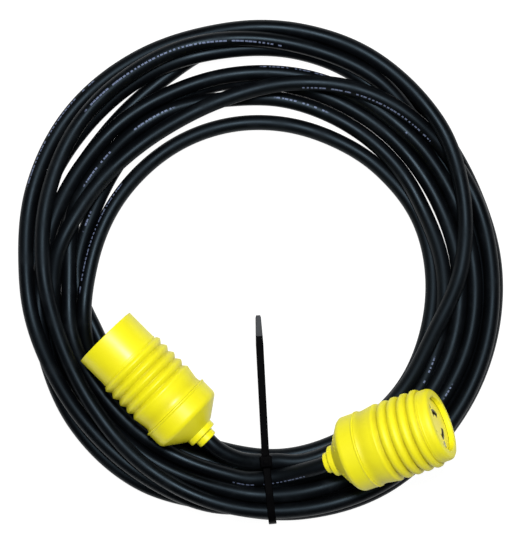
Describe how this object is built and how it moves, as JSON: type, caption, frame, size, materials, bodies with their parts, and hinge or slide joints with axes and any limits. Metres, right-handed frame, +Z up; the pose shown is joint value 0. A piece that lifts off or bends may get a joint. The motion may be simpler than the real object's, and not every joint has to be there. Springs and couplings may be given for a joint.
{
  "type": "shore power cord",
  "caption": "Coiled black 3-wire shore power cord with a yellow-booted twist-locking plug and matching connector, bound with a cable tie.",
  "frame": {"origin": "on the surface the coil lies on, under the middle of the coil's footprint", "axes": "+Z up, away from that surface; +Y from the tie towards the middle of the coil; +X from the plug's side to the connector's side"},
  "size_m": [0.504, 0.508, 0.1321],
  "materials": {
    "yellow_rubber": "satin moulded elastomer, lemon yellow",
    "black_rubber": "smooth satin cord jacket",
    "black_nylon": "moulded nylon",
    "white_nylon": "moulded nylon, pale yellow",
    "brass": "bright",
    "plated_brass": "nickel plated",
    "steel": "zinc plated",
    "wire_black": "wire insulation",
    "wire_white": "wire insulation",
    "wire_green": "wire insulation",
    "tie_nylon": "satin nylon"
  },
  "bodies": {
    "cord_set": {"plug_bellows": "yellow_rubber", "plug_rear_boot": "yellow_rubber", "plug_housing": "black_nylon", "plug_face": "white_nylon", "plug_line_blade": "brass", "plug_neutral_blade": "plated_brass", "plug_ground_blade": "brass", "plug_terminal_screws": "steel", "plug_assembly_screws": "steel", "plug_clamp_upper": "black_nylon", "plug_clamp_lower": "black_nylon", "plug_clamp_screws": "steel", "plug_line_wire": "wire_black", "plug_neutral_wire": "wire_white", "plug_ground_wire": "wire_green", "connector_bellows": "yellow_rubber", "connector_rear_boot": "yellow_rubber", "connector_housing": "black_nylon", "connector_face": "white_nylon", "connector_line_contact": "brass", "connector_neutral_contact": "plated_brass", "connector_ground_contact": "brass", "connector_terminal_screws": "steel", "connector_assembly_screws": "steel", "connector_clamp_upper": "black_nylon", "connector_clamp_lower": "black_nylon", "connector_clamp_screws": "steel", "connector_line_wire": "wire_black", "connector_neutral_wire": "wire_white", "connector_ground_wire": "wire_green", "cord_coil": "black_rubber", "cord_plug_lead": "black_rubber", "cord_connector_lead": "black_rubber", "cable_tie": "tie_nylon"},
    "plug_sleeve_body": {"plug_sleeve": "yellow_rubber"},
    "connector_lip_body": {"connector_lip": "yellow_rubber"}
  },
  "joints": [
    {"name": "plug_sleeve_slide", "type": "slide", "parent": "cord_set", "child": "plug_sleeve_body", "axis": [0.7071, -0.7071, 0], "range_m": [0, 0.0155], "stiffness_N_per_m": 800, "springref_m": -0.002, "deforming": ["plug_bellows"]},
    {"name": "connector_lip_slide", "type": "slide", "parent": "cord_set", "child": "connector_lip_body", "axis": [-0.8713, -0.352, -0.342], "range_m": [0, 0.01], "stiffness_N_per_m": 800, "springref_m": -0.002, "deforming": ["connector_bellows"]}
  ]
}
